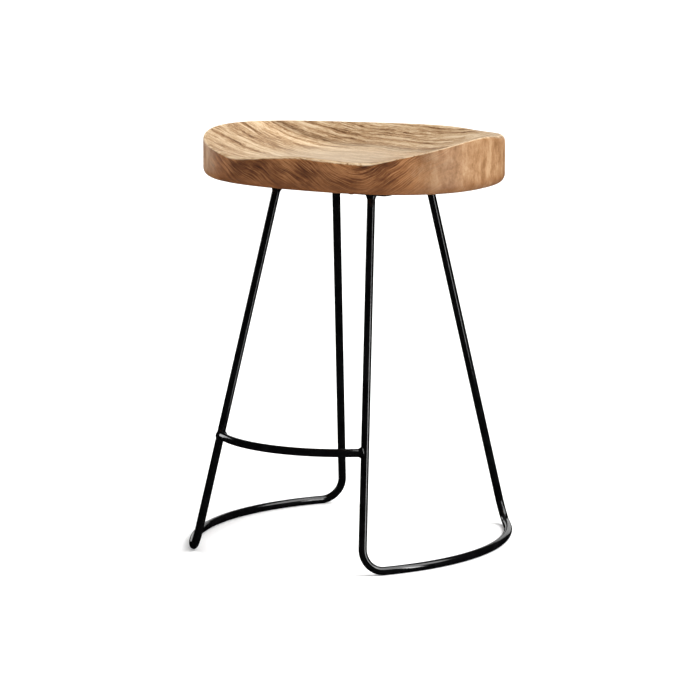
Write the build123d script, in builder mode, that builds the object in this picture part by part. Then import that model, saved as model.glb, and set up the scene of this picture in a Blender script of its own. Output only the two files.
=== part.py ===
"""Bar stool: a carved hardwood seat on a welded frame of bent steel rod.

Millimetres, +Z up, with the origin on the floor under the middle of the stool. The
sitter faces -Y. Left and right are as seen from the front: right is +X.
"""

import os
from math import atan2, cos, degrees, exp, pi, radians, sin, tan

from build123d import *

os.makedirs("parts", exist_ok=True)

# Driving dimensions -----------------------------------------------------------------

# Seat block: its outline is a superellipse
SEAT_WIDTH = 450.0
SEAT_DEPTH = 338.0
OUTLINE_POWER = 2.37  # 2 is an ellipse, a larger power is squarer
OUTLINE_POINTS = 48
SEAT_UNDERSIDE = 537.0
UNDERSIDE_ROUND = 12.5
RIM_ROUND = 4.0

# Carved top: the height of the rim all round, and of the bowl inside it
SIDE_RIM = 609.1
BACK_RIM = 601.3
THIGH_DIP = 580.8
DIP_ANGLE = 60.0  # degrees forward of the side at which the thigh dips are lowest
POMMEL_RISE = 7.2  # middle of the front edge above the thigh dips
BOWL_FLOOR = 567.0
BOWL_POWER = 2.3  # 2 is a parabola, a larger power is a flatter floor
RIDGE_RISE = 3.0  # low ridge running back from the pommel
RIDGE_WIDTH = 45.0
EDGE_FALL = 4.0  # the front edge is eased: the top falls this much more at the outline
EDGE_FALL_START = 0.90  # share of the way out at which that fall starts
EASED_FROM = 48.0  # degrees forward of the side: the edge is crisp up to here
EASED_TO = 67.0  # and fully eased from here to the middle of the front
RIM_SLOPE = 0.026  # the hand-carved top climbs this much towards the right
CARVING_STEPS = 24
CARVING_MARGIN = 1.04  # the carved surface runs a little past the block

# Mounting plate under the seat
PLATE_WIDTH = 226.0
PLATE_DEPTH = 198.0
PLATE_THICKNESS = 8.0
PLATE_CORNER = 8.0

# Wood screws up through the plate: four near the legs and one at each side
SCREW_SHANK = 4.5
SCREW_LENGTH = 22.0
SCREW_HEAD = 9.0
SCREW_HEAD_HEIGHT = 3.0
SCREW_HEAD_ROUND = 1.8
SCREW_DRIVE = 2.6  # across the hexagonal recess
SCREW_DRIVE_DEPTH = 1.6
SCREW_SPACING_X = 92.0
SCREW_SPACING_Y = 166.0
SIDE_SCREW_SPACING = 198.0

# Side frames of bent rod: each is two legs and a floor rail in one length
ROD_DIAMETER = 12.0
LEG_TOP_X = 78.9
LEG_TOP_Y = 82.4
LEG_TOP_HEIGHT = 531.0  # height at which the line of the leg has those positions
LEG_FOOT_X = 141.4  # where the line of the leg reaches the height of the rail
LEG_FOOT_Y = 210.3
RAIL_HALF_SWEEP = 35.7  # degrees
BEND_RADIUS = 30.3

# Footrest rod between the front legs
FOOTREST_HEIGHT = 171.0
FOOTREST_BOW = 47.2  # its middle stands this far forward of its ends

# Weld beads round the rod ends
LEG_WELD_REACH = 4.5
LEG_WELD_LENGTH = 10.0
FOOTREST_WELD_REACH = 3.0
FOOTREST_WELD_LENGTH = 5.5
WELD_OVERLAP = 0.6

ROD_RADIUS = ROD_DIAMETER / 2
HALF_WIDTH = SEAT_WIDTH / 2
HALF_DEPTH = SEAT_DEPTH / 2
PLATE_UNDERSIDE = SEAT_UNDERSIDE - PLATE_THICKNESS


# Seat -------------------------------------------------------------------------------


def outline_point(angle):
    """A point of the seat's outline, for an angle in radians round its middle."""
    across = abs(cos(angle)) ** (2 / OUTLINE_POWER)
    along = abs(sin(angle)) ** (2 / OUTLINE_POWER)
    return (
        HALF_WIDTH * (across if cos(angle) >= 0 else -across),
        HALF_DEPTH * (along if sin(angle) >= 0 else -along),
    )


def rim_height(forward):
    """Height of the rim at an angle in degrees, forward (+) or back (-) of the side."""
    if forward <= 0:
        share = cos(radians(min(-1.2 * forward, 90))) ** 2
        return BACK_RIM + (SIDE_RIM - BACK_RIM) * share
    if forward < DIP_ANGLE:
        share = cos(radians(90 * forward / DIP_ANGLE)) ** 1.2
        return THIGH_DIP + (SIDE_RIM - THIGH_DIP) * share
    share = sin(radians(90 * (forward - DIP_ANGLE) / (90 - DIP_ANGLE))) ** 2
    return THIGH_DIP + POMMEL_RISE * share


def edge_fall(forward, reach):
    """How far the eased front edge has fallen, at a share of the way out to the outline."""
    across_band = min(max((forward - EASED_FROM) / (EASED_TO - EASED_FROM), 0.0), 1.0)
    eased = across_band**2 * (3 - 2 * across_band)
    outward = max(0.0, reach - EDGE_FALL_START) / (1 - EDGE_FALL_START)
    return EDGE_FALL * eased * outward**2


def carved_height(x, y):
    """Height of the carved top: a bowl that climbs to the rim at the outline."""
    across = abs(x) / HALF_WIDTH
    along = abs(y) / HALF_DEPTH
    reach = (across**OUTLINE_POWER + along**OUTLINE_POWER) ** (1 / OUTLINE_POWER)
    forward = degrees(atan2(-y / HALF_DEPTH, across))
    climb = (rim_height(forward) - BOWL_FLOOR) * reach**BOWL_POWER
    ridge = RIDGE_RISE * exp(-((x / RIDGE_WIDTH) ** 2)) * max(0.0, 1 - reach**2)
    return BOWL_FLOOR + climb + ridge + RIM_SLOPE * x - edge_fall(forward, reach)


def carving_steps(half):
    """Evenly spaced places across the carved surface."""
    wide = half * CARVING_MARGIN
    return [wide * (2 * step / CARVING_STEPS - 1) for step in range(CARVING_STEPS + 1)]


def screw_locations():
    """Where the screws go through the plate: a rectangle of four and a pair."""
    return [
        *GridLocations(SCREW_SPACING_X, SCREW_SPACING_Y, 2, 2),
        *GridLocations(SIDE_SCREW_SPACING, 0, 2, 1),
    ]


carved_top = Face.make_surface_from_array_of_points(
    [[(x, y, carved_height(x, y)) for x in carving_steps(HALF_WIDTH)] for y in carving_steps(HALF_DEPTH)],
    tol=0.1,
    min_deg=3,
    max_deg=3,
)

with BuildPart() as seat:
    with BuildSketch(Plane.XY.offset(SEAT_UNDERSIDE)):
        with BuildLine():
            Spline(
                *[outline_point(2 * pi * step / OUTLINE_POINTS) for step in range(OUTLINE_POINTS)],
                periodic=True,
            )
        make_face()
    extrude(amount=SIDE_RIM - SEAT_UNDERSIDE + 20)
    fillet(seat.faces().sort_by(Axis.Z)[0].edges(), UNDERSIDE_ROUND)
    extrude(carved_top, amount=100, dir=(0, 0, 1), mode=Mode.SUBTRACT)
    rim_edge = seat.faces().sort_by(Axis.Z)[-1].edges()
    fillet(rim_edge, RIM_ROUND)
    with BuildSketch(Plane.XY.offset(SEAT_UNDERSIDE)):
        with Locations(*screw_locations()):
            Circle(SCREW_SHANK / 2)
    extrude(amount=SCREW_LENGTH - PLATE_THICKNESS, mode=Mode.SUBTRACT)
seat.part.label = "seat"
export_step(seat.part, "parts/seat.step")


# Mounting plate and its screws ------------------------------------------------------

with BuildPart() as mounting_plate:
    with BuildSketch(Plane.XY.offset(PLATE_UNDERSIDE)):
        RectangleRounded(PLATE_WIDTH, PLATE_DEPTH, PLATE_CORNER)
        with Locations(*screw_locations()):
            Circle(SCREW_SHANK / 2, mode=Mode.SUBTRACT)
    extrude(amount=PLATE_THICKNESS)
    chamfer(mounting_plate.faces().sort_by(Axis.Z)[0].outer_wire().edges(), 0.6)
mounting_plate.part.label = "mounting_plate"
export_step(mounting_plate.part, "parts/mounting_plate.step")

with BuildPart() as seat_screws:
    with BuildSketch(Plane.XY.offset(PLATE_UNDERSIDE)):
        with Locations(*screw_locations()):
            Circle(SCREW_SHANK / 2)
    extrude(amount=SCREW_LENGTH)
    with BuildSketch(Plane.XY.offset(PLATE_UNDERSIDE - SCREW_HEAD_HEIGHT)):
        with Locations(*screw_locations()):
            Circle(SCREW_HEAD / 2)
    extrude(amount=SCREW_HEAD_HEIGHT)
    fillet(seat_screws.faces().group_by(Axis.Z)[0].edges(), SCREW_HEAD_ROUND)
    with BuildSketch(Plane.XY.offset(PLATE_UNDERSIDE - SCREW_HEAD_HEIGHT)):
        with Locations(*screw_locations()):
            RegularPolygon(SCREW_DRIVE / 2, 6, major_radius=False)
    extrude(amount=SCREW_DRIVE_DEPTH, mode=Mode.SUBTRACT)
seat_screws.part.label = "seat_screws"
export_step(seat_screws.part, "parts/seat_screws.step")


# Side frames ------------------------------------------------------------------------


def leg_direction(side, end):
    """Unit vector down a leg: side is -1 left or 1 right, end is -1 front or 1 back."""
    drop = ROD_RADIUS - LEG_TOP_HEIGHT
    return Vector(side * (LEG_FOOT_X - LEG_TOP_X), end * (LEG_FOOT_Y - LEG_TOP_Y), drop).normalized()


def leg_centre(side, end, height):
    """The point at a height on the centre line of a leg."""
    down_leg = (LEG_TOP_HEIGHT - height) / (LEG_TOP_HEIGHT - ROD_RADIUS)
    return Vector(
        side * (LEG_TOP_X + (LEG_FOOT_X - LEG_TOP_X) * down_leg),
        end * (LEG_TOP_Y + (LEG_FOOT_Y - LEG_TOP_Y) * down_leg),
        height,
    )


def foot_bend(side, end):
    """The three points of the bend at a leg's foot: its top, middle and rail end."""
    corner = Vector(side * LEG_FOOT_X, end * LEG_FOOT_Y, ROD_RADIUS)
    up = leg_direction(side, end) * -1
    sweep = radians(RAIL_HALF_SWEEP)
    along = Vector(side * sin(sweep), -end * cos(sweep), 0)
    turn = radians(180 - up.get_angle(along))
    setback = BEND_RADIUS * tan(turn / 2)
    inward = (up + along).normalized()
    middle = corner + inward * (BEND_RADIUS / cos(turn / 2) - BEND_RADIUS)
    return corner + up * setback, middle, corner + along * setback


def side_frame(side):
    """One side frame: down the front leg, back along the curved rail and up the rear leg."""
    front_top, front_middle, rail_front = foot_bend(side, -1)
    back_top, back_middle, rail_back = foot_bend(side, 1)
    rail_radius = rail_back.Y / sin(radians(RAIL_HALF_SWEEP))
    bulge = rail_radius * (1 - cos(radians(RAIL_HALF_SWEEP)))
    front_end = leg_centre(side, -1, PLATE_UNDERSIDE) - leg_direction(side, -1) * ROD_RADIUS
    back_end = leg_centre(side, 1, PLATE_UNDERSIDE) - leg_direction(side, 1) * ROD_RADIUS
    with BuildPart() as frame:
        with BuildLine() as centre_line:
            Line(front_end, front_top)
            ThreePointArc(front_top, front_middle, rail_front)
            ThreePointArc(rail_front, (rail_back.X + side * bulge, 0, ROD_RADIUS), rail_back)
            ThreePointArc(rail_back, back_middle, back_top)
            Line(back_top, back_end)
        with BuildSketch(Plane(front_end, z_dir=leg_direction(side, -1))):
            Circle(ROD_RADIUS)
        sweep(path=centre_line.wires()[0])
        split(bisect_by=Plane.XY.offset(PLATE_UNDERSIDE), keep=Keep.BOTTOM)
    return frame


left_side_frame = side_frame(-1)
left_side_frame.part.label = "left_side_frame"
export_step(left_side_frame.part, "parts/left_side_frame.step")

right_side_frame = side_frame(1)
right_side_frame.part.label = "right_side_frame"
export_step(right_side_frame.part, "parts/right_side_frame.step")


# Footrest ---------------------------------------------------------------------------


def footrest_end(side):
    """Where the footrest's centre line meets the centre line of a front leg."""
    return leg_centre(side, -1, FOOTREST_HEIGHT)


def footrest_heading(side):
    """Unit vector along the footrest from a front leg towards the middle."""
    half_span = footrest_end(1).X
    half_sweep = 2 * atan2(FOOTREST_BOW, half_span)
    return Vector(-side * cos(half_sweep), -sin(half_sweep), 0)


with BuildPart() as footrest:
    with BuildLine() as bow:
        ThreePointArc(
            footrest_end(-1),
            (0, footrest_end(1).Y - FOOTREST_BOW, FOOTREST_HEIGHT),
            footrest_end(1),
        )
    with BuildSketch(Plane(footrest_end(-1), z_dir=footrest_heading(-1))):
        Circle(ROD_RADIUS)
    sweep(path=bow.wires()[0])
    add(left_side_frame.part, mode=Mode.SUBTRACT)
    add(right_side_frame.part, mode=Mode.SUBTRACT)
footrest.part.label = "footrest"
export_step(footrest.part, "parts/footrest.step")


# Weld beads -------------------------------------------------------------------------


def weld_collar(joint, heading, nose, crest, reach, tail):
    """A collar of weld round a rod, thickest at the crest; distances run along the rod.

    Its two ends dip below the rod's surface, so that it meets the rod at a clear angle.
    """
    side_on = Plane(joint, x_dir=heading, z_dir=heading.cross(Vector(0, 0, 1)).normalized())
    foot = ROD_RADIUS - WELD_OVERLAP
    with BuildSketch(side_on) as profile:
        with BuildLine():
            Polyline((tail, foot), (tail, 0), (nose, 0), (nose, foot))
            ThreePointArc(
                (nose, foot),
                (nose + 0.4 * (crest - nose), ROD_RADIUS + 0.75 * reach),
                (crest, ROD_RADIUS + reach),
            )
            ThreePointArc(
                (crest, ROD_RADIUS + reach),
                (crest + 0.42 * (tail - crest), ROD_RADIUS + 0.4 * reach),
                (tail, foot),
            )
        make_face()
    revolve(profile.sketch, axis=Axis(joint, heading))


with BuildPart() as leg_top_welds:
    for side in (-1, 1):
        for end in (-1, 1):
            weld_collar(
                leg_centre(side, end, PLATE_UNDERSIDE),
                leg_direction(side, end),
                -ROD_DIAMETER,
                -LEG_WELD_REACH / 2,
                LEG_WELD_REACH,
                LEG_WELD_LENGTH,
            )
    split(bisect_by=Plane.XY.offset(PLATE_UNDERSIDE), keep=Keep.BOTTOM)
    add(left_side_frame.part, mode=Mode.SUBTRACT)
    add(right_side_frame.part, mode=Mode.SUBTRACT)
leg_top_welds.part.label = "leg_top_welds"
export_step(leg_top_welds.part, "parts/leg_top_welds.step")

with BuildPart() as footrest_welds:
    for side in (-1, 1):
        weld_collar(
            footrest_end(side),
            footrest_heading(side),
            0.3 * ROD_RADIUS,
            0.8 * ROD_RADIUS,
            FOOTREST_WELD_REACH,
            ROD_RADIUS + FOOTREST_WELD_LENGTH,
        )
    add(footrest.part, mode=Mode.SUBTRACT)
    add(left_side_frame.part, mode=Mode.SUBTRACT)
    add(right_side_frame.part, mode=Mode.SUBTRACT)
footrest_welds.part.label = "footrest_welds"
export_step(footrest_welds.part, "parts/footrest_welds.step")
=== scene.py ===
"""Looks for the carved-seat bar stool: wood, painted steel rod, studio floor, light and camera."""

from math import atan2, cos, degrees, exp, pi, radians, sin, sqrt

import bpy
from mathutils import Matrix, Vector, noise


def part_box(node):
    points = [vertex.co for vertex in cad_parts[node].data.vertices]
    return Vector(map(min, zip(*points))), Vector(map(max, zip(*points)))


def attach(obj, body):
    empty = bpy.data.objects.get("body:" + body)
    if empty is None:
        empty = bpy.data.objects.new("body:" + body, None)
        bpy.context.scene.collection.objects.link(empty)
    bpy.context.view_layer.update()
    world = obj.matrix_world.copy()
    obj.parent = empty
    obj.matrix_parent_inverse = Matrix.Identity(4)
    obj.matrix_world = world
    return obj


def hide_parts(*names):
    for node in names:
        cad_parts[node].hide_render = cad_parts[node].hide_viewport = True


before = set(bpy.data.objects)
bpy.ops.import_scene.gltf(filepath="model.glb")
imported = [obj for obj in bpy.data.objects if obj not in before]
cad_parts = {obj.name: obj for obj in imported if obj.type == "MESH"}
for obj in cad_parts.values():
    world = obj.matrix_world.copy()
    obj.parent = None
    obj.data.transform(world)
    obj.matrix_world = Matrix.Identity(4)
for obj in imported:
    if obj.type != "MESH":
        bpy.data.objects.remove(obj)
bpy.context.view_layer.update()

MM = 0.001
ROOT = "root"

# Seat shape (millimetres) --------------------------------------------------------------

# As in the CAD part, but with the side rim 0.2 mm lower, which keeps this mesh inside its box
OUTLINE_POWER = 2.37
SIDE_RIM = 608.9
BACK_RIM = 601.3
THIGH_DIP = 580.8
DIP_ANGLE = 60.0
POMMEL_RISE = 7.2
BOWL_FLOOR = 567.0
BOWL_POWER = 2.3
RIDGE_RISE = 3.0
RIDGE_WIDTH = 45.0
RIM_SLOPE = 0.026
UNDERSIDE_ROUND = 12.5
EASED_FROM = 48.0  # degrees forward of the side: the edge is crisp up to here
EASED_TO = 67.0  # and fully eased from here to the middle of the front

# Radius between the carved top and the wall: crisp at the back and left, soft at the front
CRISP_EDGE = 3.4
SOFT_EDGE = 11.0
RIGHT_END_EDGE = 19.0
RIGHT_END_MIDDLE = 34.0  # degrees from the right towards the back, where that edge is softest
RIGHT_END_SPREAD = 34.0  # degrees
CARVING_WAVE = 0.35  # depth of the shallow tool hollows
WAVE_FROM = 2.0  # how far in from the edge the hollows start
WAVE_TO = 25.0  # and reach their full depth

# Columns and rings of the seat mesh; the rings run from the middle of the top to the underside
COLUMNS = 480
TOP_RINGS = 70
TOP_CROWDING = 0.9  # below 1 the rings stand closer together towards the edge
EDGE_RINGS = 12
WALL_RINGS = 16
ROUND_RINGS = 10
UNDERSIDE_SHARES = (0.8, 0.55, 0.3)  # how far out the rings of the flat underside lie

seat_low, seat_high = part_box("seat")
HALF_WIDTH = (seat_high.x - seat_low.x) / 2 / MM
HALF_DEPTH = (seat_high.y - seat_low.y) / 2 / MM
SEAT_UNDERSIDE = seat_low.z / MM


# Node helpers --------------------------------------------------------------------------


class Nodes:
    """Adds shader nodes to a material and joins them, one short call for each."""

    def __init__(self, material):
        material.use_nodes = True
        self.tree = material.node_tree
        self.tree.nodes.clear()

    def add(self, kind, settings=None, **inputs):
        node = self.tree.nodes.new("ShaderNode" + kind)
        for name, value in (settings or {}).items():
            setattr(node, name, value)
        for name, value in inputs.items():
            key = int(name[1:]) if name[0] == "i" and name[1:].isdigit() else name.replace("_", " ")
            self.link(value, node.inputs[key])
        return node

    def link(self, value, socket):
        if isinstance(value, bpy.types.Node):
            value = value.outputs[0]
        if isinstance(value, bpy.types.NodeSocket):
            self.tree.links.new(value, socket)
        else:
            socket.default_value = value

    def math(self, operation, a, b=0.0):
        return self.add("Math", {"operation": operation}, i0=a, i1=b)

    def times(self, value, factor):
        return self.math("MULTIPLY", value, factor)

    def plus(self, *values):
        total = values[0]
        for value in values[1:]:
            total = self.math("ADD", total, value)
        return total

    def centred(self, value, width):
        """A noise of 0 to 1 made to swing about 0, over a width."""
        return self.times(self.math("SUBTRACT", value, 0.5), width)

    def rest_of(self, share):
        return self.math("SUBTRACT", 1.0, share)

    def vector(self, operation, a, b):
        return self.add("VectorMath", {"operation": operation}, i0=a, i1=b)

    def noise(self, vector, scale, detail, roughness):
        node = self.add("TexNoise", None, Vector=vector, Scale=scale, Detail=detail)
        node.inputs["Roughness"].default_value = roughness
        return node

    def cloud(self, place, stretch, detail, roughness):
        """Noise stretched by a scale along each axis."""
        return self.noise(self.vector("MULTIPLY", place, stretch), 1.0, detail, roughness)

    def strands(self, along, across, up, detail, roughness):
        """Noise over three measures of the wood's own, each already scaled."""
        return self.noise(self.add("CombineXYZ", None, X=along, Y=across, Z=up), 1.0, detail, roughness)

    def ramp(self, factor, stops):
        node = self.add("ValToRGB", None, Fac=factor)
        elements = node.color_ramp.elements
        while len(elements) < len(stops):
            elements.new(1.0)
        for element, (position, colour) in zip(elements, stops):
            element.position = position
            element.color = (*colour, 1.0) if isinstance(colour, tuple) else (colour, colour, colour, 1.0)
        return node

    def mix(self, factor, a, b, blend="MIX"):
        node = self.tree.nodes.new("ShaderNodeMix")
        node.data_type = "RGBA"
        node.blend_type = blend
        node.clamp_factor = True
        self.link(factor, node.inputs["Factor"])
        self.link((*a, 1.0) if isinstance(a, tuple) else a, node.inputs[6])
        self.link((*b, 1.0) if isinstance(b, tuple) else b, node.inputs[7])
        return node.outputs[2]

    def smooth(self, value, low, high):
        node = self.add("MapRange", {"interpolation_type": "SMOOTHSTEP"}, Value=value)
        node.inputs["From Min"].default_value = low
        node.inputs["From Max"].default_value = high
        return node

    def output(self, shader):
        self.add("OutputMaterial", None, Surface=shader)


# Seat mesh -----------------------------------------------------------------------------


def rim_height(forward):
    """Height of the rim at an angle in degrees, forward (+) or back (-) of the side."""
    if forward <= 0:
        share = cos(radians(min(-1.2 * forward, 90))) ** 2
        return BACK_RIM + (SIDE_RIM - BACK_RIM) * share
    if forward < DIP_ANGLE:
        share = cos(radians(90 * forward / DIP_ANGLE)) ** 1.2
        return THIGH_DIP + (SIDE_RIM - THIGH_DIP) * share
    share = sin(radians(90 * (forward - DIP_ANGLE) / (90 - DIP_ANGLE))) ** 2
    return THIGH_DIP + POMMEL_RISE * share


def carved_height(x, y):
    """Height of the carved top: the CAD seat's formula, without the fall of its front edge."""
    across = abs(x) / HALF_WIDTH
    along = abs(y) / HALF_DEPTH
    reach = (across**OUTLINE_POWER + along**OUTLINE_POWER) ** (1 / OUTLINE_POWER)
    forward = degrees(atan2(-y / HALF_DEPTH, across))
    climb = (rim_height(forward) - BOWL_FLOOR) * reach**BOWL_POWER
    ridge = RIDGE_RISE * exp(-((x / RIDGE_WIDTH) ** 2)) * max(0.0, 1 - reach**2)
    return BOWL_FLOOR + climb + ridge + RIM_SLOPE * x


def outline_point(angle, reach=1.0):
    """A point at a share of the way from the middle to the outline."""
    across = abs(cos(angle)) ** (2 / OUTLINE_POWER)
    along = abs(sin(angle)) ** (2 / OUTLINE_POWER)
    return (
        reach * HALF_WIDTH * (across if cos(angle) >= 0 else -across),
        reach * HALF_DEPTH * (along if sin(angle) >= 0 else -along),
    )


def blend(value, low, high):
    """0 at low, 1 at high, and smooth between."""
    t = min(max((value - low) / (high - low), 0.0), 1.0)
    return t * t * (3 - 2 * t)


def edge_softness(angle):
    """Radius of the top edge at an angle in radians from the right end, counter-clockwise."""
    forward = degrees(atan2(-sin(angle), abs(cos(angle))))
    front = blend(forward, EASED_FROM, EASED_TO)
    turn = (degrees(angle) + 180) % 360 - 180
    right_end = exp(-(((turn - RIGHT_END_MIDDLE) / RIGHT_END_SPREAD) ** 4))
    return CRISP_EDGE + (SOFT_EDGE - CRISP_EDGE) * front + (RIGHT_END_EDGE - CRISP_EDGE) * right_end


def edge_curve(inner, start, edge_x, edge_y, soft):
    """Points of the eased edge, a parabola from the top's last point round to the wall."""
    wall_top = carved_height(edge_x, edge_y) - soft
    corner_height = start[2] + (start[2] - inner[2]) / (inner[3] - start[3]) * soft
    points = []
    for ring in range(1, EDGE_RINGS + 1):
        t = ring / EDGE_RINGS
        x = (1 - t) ** 2 * start[0] + 2 * t * (1 - t) * edge_x + t * t * edge_x
        y = (1 - t) ** 2 * start[1] + 2 * t * (1 - t) * edge_y + t * t * edge_y
        z = (1 - t) ** 2 * start[2] + 2 * t * (1 - t) * corner_height + t * t * wall_top
        points.append((x, y, z, soft * (1 - 2 * t)))
    return points


def seat_profile(angle):
    """One meridian of the seat from the middle of the top, over the edge, to the underside.

    Each point is x, y, z and its run along the surface from the edge, plus on top.
    """
    edge_x, edge_y = outline_point(angle)
    arm = sqrt(edge_x**2 + edge_y**2)
    soft = edge_softness(angle)
    start = 1 - soft / arm
    points = []
    for ring in range(1, TOP_RINGS + 1):
        reach = start * (ring / TOP_RINGS) ** TOP_CROWDING
        x, y = outline_point(angle, reach)
        points.append((x, y, carved_height(x, y), arm * (1 - reach)))
    points.extend(edge_curve(points[-2], points[-1], edge_x, edge_y, soft))
    wall_top = points[-1][2]
    bottom = SEAT_UNDERSIDE + UNDERSIDE_ROUND
    for ring in range(1, WALL_RINGS + 1):
        z = wall_top + (bottom - wall_top) * ring / WALL_RINGS
        points.append((edge_x, edge_y, z, -soft - (wall_top - z)))
    wall_run = points[-1][3]
    for ring in range(1, ROUND_RINGS + 1):
        lean = pi / 2 * ring / ROUND_RINGS
        reach = 1 - UNDERSIDE_ROUND * (1 - cos(lean)) / arm
        x, y = outline_point(angle, reach)
        points.append((x, y, bottom - UNDERSIDE_ROUND * sin(lean), wall_run - UNDERSIDE_ROUND * lean))
    edge_reach = 1 - UNDERSIDE_ROUND / arm
    for reach in UNDERSIDE_SHARES:
        x, y = outline_point(angle, edge_reach * reach)
        points.append((x, y, SEAT_UNDERSIDE, points[-1][3]))
    return points


def carving_hollow(x, y, run):
    """How far the carving tool's waves lift the top, which is nothing at the edge."""
    wave = noise.noise(Vector((x * 0.021, y * 0.035, 4.0)))
    return wave * (blend(run, WAVE_FROM, WAVE_TO) * CARVING_WAVE)


def make_seat():
    """The carved seat as one closed mesh, with its run from the edge kept for the material."""
    profiles = [seat_profile(2 * pi * (column + 0.5) / COLUMNS) for column in range(COLUMNS)]
    rings = len(profiles[0])
    verts = [(0.0, 0.0, carved_height(0, 0))]
    runs = [profiles[0][0][3]]
    for profile in profiles:
        for x, y, z, run in profile:
            verts.append((x, y, z + carving_hollow(x, y, run)))
            runs.append(run)
    verts.append((0.0, 0.0, SEAT_UNDERSIDE))
    runs.append(profiles[0][-1][3])
    last = len(verts) - 1
    faces = []
    for column in range(COLUMNS):
        here = 1 + column * rings
        there = 1 + (column + 1) % COLUMNS * rings
        faces.append((0, here, there))
        faces.extend((here + r, here + r + 1, there + r + 1, there + r) for r in range(rings - 1))
        faces.append((here + rings - 1, last, there + rings - 1))
    mesh = bpy.data.meshes.new("carved_seat")
    mesh.from_pydata([(x * MM, y * MM, z * MM) for x, y, z in verts], [], faces)
    mesh.shade_smooth()
    attribute = mesh.attributes.new("edge_run", "FLOAT", "POINT")
    attribute.data.foreach_set("value", runs)
    mesh.update()
    seat = bpy.data.objects.new("carved_seat", mesh)
    bpy.context.scene.collection.objects.link(seat)
    return seat


# Materials -----------------------------------------------------------------------------

# Tones of the wood, each ramp from its dark grain to its pale grain
TOP_TONES = [
    (0.42, (0.085, 0.034, 0.011)),
    (0.465, (0.250, 0.132, 0.056)),
    (0.505, (0.415, 0.265, 0.138)),
    (0.56, (0.625, 0.480, 0.315)),
]
# Tone of the growth zones, from about the front of the seat (0) to its back (1)
# Partly the wood's own tone, partly painted light: a painted lit band at 0.60 and painted shade from
# 0.675
ZONE_TONES_AND_PAINTED_LIGHT = [
    (0.0, 0.95),
    (0.42, 0.98),
    (0.53, 1.0),
    (0.60, 1.16),
    (0.645, 1.05),
    (0.675, 0.72),
    (0.72, 0.96),
    (0.85, 0.93),
    (1.0, 1.0),
]
# The front is darker than the top partly by its own grain, partly by painted shade where it faces from
# the light
FRONT_TONES_AND_SHADE = [
    (0.43, (0.036, 0.008, 0.0015)),
    (0.475, (0.100, 0.029, 0.0062)),
    (0.515, (0.180, 0.060, 0.0150)),
    (0.57, (0.370, 0.165, 0.062)),
]
END_TONES = [
    (0.40, (0.190, 0.088, 0.030)),
    (0.50, (0.300, 0.160, 0.072)),
    (0.58, (0.390, 0.238, 0.124)),
]
LOW_BAND_TONE = (0.165, 0.055, 0.011)
# Painted sheen: a pale, greyer tone laid on the deep left of the bowl where light glosses it
PAINTED_SHEEN_TONE = (0.53, 0.43, 0.31)
RUBBED_TONE = (0.62, 0.47, 0.30)
LAYER_SLANT = 0.16  # growth layers run a little askew to the seat
ARCH_MIDDLE = 0.098  # metres to the right of the middle: the front's arches centre there


class Wood:
    """The measures that the wood's grain is worked out from, as nodes of its material."""

    def __init__(self, n):
        self.place = n.add("TexCoord").outputs["Object"]
        self.x, self.y, self.z = n.add("SeparateXYZ", None, Vector=self.place).outputs
        normal = n.add("SeparateXYZ", None, Vector=n.add("TexCoord").outputs["Normal"])
        self.facing_up = normal.outputs[2]
        self.run = n.add("Attribute", {"attribute_name": "edge_run"}).outputs["Fac"]
        self.bend = n.cloud(self.place, (12.0, 12.0, 16.0), 2, 0.5)
        self.mottle = n.cloud(self.place, (70.0, 70.0, 50.0), 4, 0.65)
        self.layer = growth_layer(n, self)
        self.fine = n.strands(
            n.times(self.x, 38.0), n.times(self.layer, 420.0), n.times(self.z, 90.0), 5, 0.85
        )
        self.fibre = n.strands(
            n.times(self.x, 70.0), n.times(self.layer, 1100.0), n.times(self.z, 300.0), 3, 0.7
        )
        self.lines = arch_lines(n, self)


def growth_layer(n, wood):
    """Growth layers stand nearly upright and run along the seat, so they streak the top."""
    wander = n.cloud(wood.place, (5.0, 9.0, 9.0), 2, 0.5)
    ripple = n.cloud(wood.place, (26.0, 60.0, 60.0), 3, 0.6)
    straight = n.plus(wood.y, n.times(wood.x, LAYER_SLANT))
    return n.plus(straight, n.centred(wander, 0.055), n.centred(ripple, 0.010))


def arch_lines(n, wood):
    """Fine grain of the front in arches, mirrored where the edge is eased."""
    from_arch = n.math("SUBTRACT", wood.x, ARCH_MIDDLE)
    spread = n.math("SQRT", n.plus(n.math("MULTIPLY", from_arch, from_arch), 0.0003))
    down = n.times(n.math("ABSOLUTE", wood.run), MM)
    arch = n.plus(n.times(spread, 0.60), down, n.centred(wood.bend, 0.030))
    return n.strands(n.times(arch, 980.0), n.times(wood.x, 22.0), n.times(wood.z, 12.0), 5, 0.8)


def top_colour(n, wood):
    """Long streaks in zones, partly painted light and shade, and a pale painted sheen where the bowl is
    deepest.
    """
    bold = n.strands(
        n.times(wood.x, 4.0), n.times(wood.layer, 95.0), n.times(wood.z, 14.0), 3, 0.6
    )
    fine_share = n.plus(n.times(wood.fine, 0.44), n.times(wood.fibre, 0.22))
    streaks = n.plus(n.times(bold, 0.34), fine_share)
    zone = n.plus(n.times(wood.layer, 2.6), 0.5)
    # The zones multiply painted light and shade into the streaks along with their tone
    top = n.mix(1.0, n.ramp(streaks, TOP_TONES), n.ramp(zone, ZONE_TONES_AND_PAINTED_LIGHT), "MULTIPLY")
    # Painted sheen on the deep left part of the bowl
    level = n.math("SUBTRACT", wood.z, n.times(wood.x, RIM_SLOPE))
    deep = n.rest_of(n.smooth(level, 0.5690, 0.5790))
    painted_sheen = n.math("MULTIPLY", deep, n.rest_of(n.smooth(wood.x, 0.02, 0.11)))
    return n.mix(n.times(painted_sheen, 0.5), top, PAINTED_SHEEN_TONE)


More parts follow.
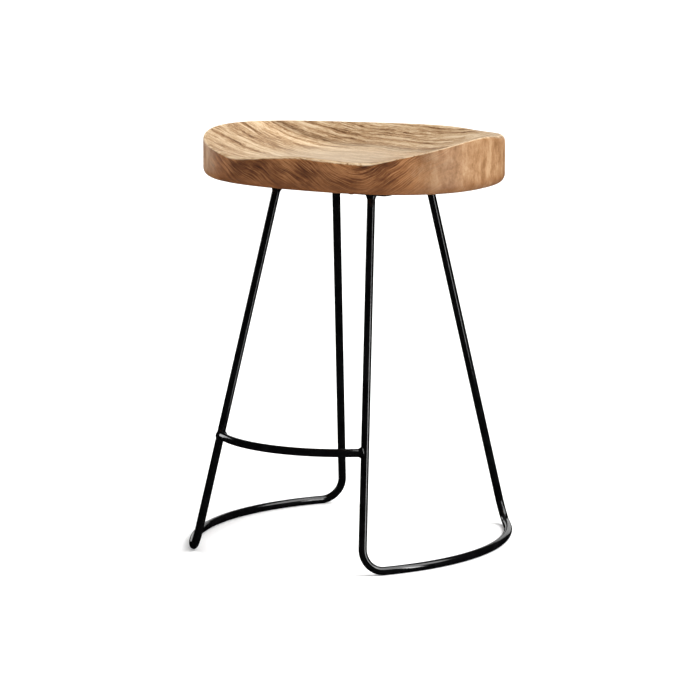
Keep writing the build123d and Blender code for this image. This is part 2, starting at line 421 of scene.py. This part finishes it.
def side_colour(n, wood):
    """Arched grain and painted shade on the front, paler mottled ends and back, and a redder low band."""
    blotch = n.cloud(wood.place, (15.0, 15.0, 26.0), 3, 0.55)
    # Painted shade is part of the front's dark ramp
    front = n.ramp(n.plus(n.times(wood.lines, 0.70), n.times(blotch, 0.30)), FRONT_TONES_AND_SHADE)
    pores = n.cloud(wood.place, (300.0, 300.0, 160.0), 4, 0.7)
    bands = n.cloud(wood.place, (14.0, 45.0, 3.0), 2, 0.5)
    speckle = n.plus(n.times(pores, 0.25), n.times(wood.mottle, 0.35))
    end = n.ramp(n.plus(n.times(bands, 0.4), speckle), END_TONES)
    right_end = n.smooth(n.plus(wood.x, n.centred(wood.bend, 0.06)), 0.150, 0.225)
    # The left end takes the paler end tone partly as end grain, partly as painted light from the left
    # lamp
    left_end_and_painted_light = n.smooth(n.times(wood.x, -1.0), 0.130, 0.195)
    behind = n.smooth(wood.y, -0.05, 0.05)
    paler = n.math("MAXIMUM", n.math("MAXIMUM", right_end, left_end_and_painted_light), behind)
    low_band = n.smooth(n.times(wood.z, -1.0), -0.560, -0.545)
    return n.mix(n.times(low_band, 0.45), n.mix(paler, front, end), LOW_BAND_TONE)


def rubbed_edge(n, wood):
    """Share of the pale wear along the edge between the top and the wall."""
    inside = n.smooth(wood.run, -2.5, 0.0)
    near_edge = n.math("MULTIPLY", inside, n.rest_of(n.smooth(wood.run, 2.0, 5.0)))
    patchy = n.math("MULTIPLY", near_edge, n.smooth(wood.mottle, 0.38, 0.55))
    return n.times(patchy, 0.7)


def wood_material():
    """Light brown hardwood: long streaks on top, arched grain on the front, paler ends."""
    material = bpy.data.materials.new("carved_wood")
    n = Nodes(material)
    wood = Wood(n)
    upward = n.smooth(wood.facing_up, 0.35, 0.80)
    colour = n.mix(upward, side_colour(n, wood), top_colour(n, wood))
    colour = n.mix(rubbed_edge(n, wood), colour, RUBBED_TONE)
    fine_grain = n.plus(n.times(wood.fibre, 0.3), n.times(wood.lines, 0.5))
    grain = n.plus(n.times(wood.fine, 0.7), fine_grain)
    bump = n.add("Bump", None, Strength=0.35, Distance=0.0007, Height=grain)
    rough = n.plus(n.times(wood.fine, 0.20), 0.38)
    shader = n.add("BsdfPrincipled", None, Base_Color=colour, Roughness=rough, Normal=bump)
    shader.inputs["Specular IOR Level"].default_value = 0.22
    n.output(shader)
    return material


def black_steel_material():
    """Glossy black enamel with a faint orange peel and small brush runs."""
    material = bpy.data.materials.new("black_enamel")
    n = Nodes(material)
    place = n.add("TexCoord").outputs["Object"]
    peel = n.noise(place, 420.0, 2, 0.5)
    flow = n.noise(place, 45.0, 3, 0.55)
    height = n.plus(n.times(peel, 0.25), n.times(flow, 1.2))
    bump = n.add("Bump", None, Strength=0.30, Distance=0.0006, Height=height)
    tone = n.ramp(flow, [(0.35, (0.0012, 0.0012, 0.0013)), (0.70, (0.0035, 0.0035, 0.0038))])
    rough = n.plus(n.times(flow, 0.08), 0.06)
    shader = n.add("BsdfPrincipled", None, Base_Color=tone, Roughness=rough, Normal=bump)
    shader.inputs["Specular IOR Level"].default_value = 0.35
    n.output(shader)
    return material


def screw_material():
    """Dark zinc plate with fine turned scratches."""
    material = bpy.data.materials.new("dark_zinc")
    n = Nodes(material)
    place = n.add("TexCoord").outputs["Object"]
    scratch = n.cloud(place, (900.0, 900.0, 6000.0), 3, 0.6)
    tone = n.ramp(scratch, [(0.3, (0.20, 0.20, 0.21)), (0.7, (0.34, 0.34, 0.35))])
    rough = n.plus(n.times(scratch, 0.2), 0.28)
    shader = n.add("BsdfPrincipled", None, Base_Color=tone, Roughness=rough)
    shader.inputs["Metallic"].default_value = 1.0
    n.output(shader)
    return material


def floor_material():
    """Plain white studio sweep."""
    material = bpy.data.materials.new("studio_white")
    n = Nodes(material)
    shader = n.add("BsdfPrincipled", None, Base_Color=(0.92, 0.92, 0.92, 1.0), Roughness=0.9)
    n.output(shader)
    return material


def wear(node, material):
    """Gives a CAD node its final material."""
    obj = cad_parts[node]
    obj.data.materials.clear()
    obj.data.materials.append(material)


# The object ----------------------------------------------------------------------------

seat = make_seat()
seat.data.materials.append(wood_material())
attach(seat, ROOT)
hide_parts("seat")

ENAMELLED = (
    "left_side_frame",
    "right_side_frame",
    "footrest",
    "mounting_plate",
    "leg_top_welds",
    "footrest_welds",
)
enamel = black_steel_material()
for node in ENAMELLED:
    wear(node, enamel)
wear("seat_screws", screw_material())


# Studio --------------------------------------------------------------------------------


def make_floor(half=30.0):
    """A wide floor that the steel doesn't mirror, so that the enamel stays black."""
    corners = [(-half, -half, 0), (half, -half, 0), (half, half, 0), (-half, half, 0)]
    mesh = bpy.data.meshes.new("floor")
    mesh.from_pydata(corners, [], [(0, 1, 2, 3)])
    floor = bpy.data.objects.new("floor", mesh)
    floor.data.materials.append(floor_material())
    floor.visible_glossy = False
    bpy.context.scene.collection.objects.link(floor)


def aim(thing, place, target):
    """Puts a light at a place and turns it to a target."""
    thing.location = place
    thing.rotation_euler = (Vector(target) - Vector(place)).to_track_quat("-Z", "Y").to_euler()
    bpy.context.scene.collection.objects.link(thing)


def area_light(name, place, target, width, height, power, lights="all"):
    """A soft box that lights "all", only the "highlights", or only the plain "colour"."""
    data = bpy.data.lights.new(name, "AREA")
    data.shape = "RECTANGLE"
    data.size = width
    data.size_y = height
    data.energy = power
    panel = bpy.data.objects.new(name, data)
    panel.visible_camera = False
    panel.visible_diffuse = lights != "highlights"
    panel.visible_glossy = lights != "colour"
    aim(panel, place, target)


def far_light(name, place, strength, spread):
    """A distant soft light that falls evenly on the whole floor."""
    data = bpy.data.lights.new(name, "SUN")
    data.energy = strength
    data.angle = radians(spread)
    aim(bpy.data.objects.new(name, data), place, (0, 0, 0))


def make_world(strength):
    """An even white surround, left out of the gloss as the floor is."""
    world = bpy.data.worlds.new("studio")
    world.use_nodes = True
    background = world.node_tree.nodes["Background"]
    background.inputs["Color"].default_value = (1.0, 1.0, 1.0, 1.0)
    background.inputs["Strength"].default_value = strength
    world.cycles_visibility.glossy = False
    bpy.context.scene.world = world


def make_camera(azimuth, elevation, distance, target, roll, lens):
    """A camera that looks at a target from an azimuth (0 is the front) and an elevation."""
    turned = radians(azimuth)
    raised = radians(elevation)
    back = Vector((sin(turned) * cos(raised), -cos(turned) * cos(raised), sin(raised)))
    data = bpy.data.cameras.new("camera")
    data.lens = lens
    data.sensor_width = 36.0
    data.clip_end = 100.0
    camera = bpy.data.objects.new("camera", data)
    turn = back.to_track_quat("Z", "Y").to_matrix().to_4x4() @ Matrix.Rotation(radians(roll), 4, "Z")
    camera.matrix_world = Matrix.Translation(Vector(target) + back * distance) @ turn
    bpy.context.scene.collection.objects.link(camera)
    bpy.context.scene.camera = camera


make_floor()
make_world(0.56)
far_light("key", (2.0, 0.6, 3.1), 3.9, 52)
area_light("back_panel", (-3.5, 6.0, 1.6), (0, 0, 0.6), 7.0, 3.0, 66)
area_light("left_panel", (-2.8, 0.5, 0.9), (0, 0, 0.5), 0.9, 0.9, 62, "colour")
area_light("right_panel", (3.0, 0.4, 1.0), (0, 0, 0.5), 0.9, 0.9, 26, "colour")
area_light("left_glint", (-2.6, 0.6, 0.9), (-0.1, 0, 0.4), 0.9, 1.2, 14, "highlights")
area_light("right_glint", (0.95, -0.05, 0.28), (0.1, -0.05, 0.28), 0.14, 0.54, 3, "highlights")
area_light("right_strip", (2.5, 0.0, 0.9), (0.1, -0.1, 0.4), 0.30, 1.4, 18, "highlights")
area_light("top_glint", (0.2, 1.6, 3.0), (0, 0, 0.1), 1.6, 0.12, 5, "highlights")
make_camera(30.648, 10.045, 5.76, (-0.0028, -0.0028, 0.2825), 0.209, 201.63)
bpy.context.scene.view_settings.view_transform = "Standard"
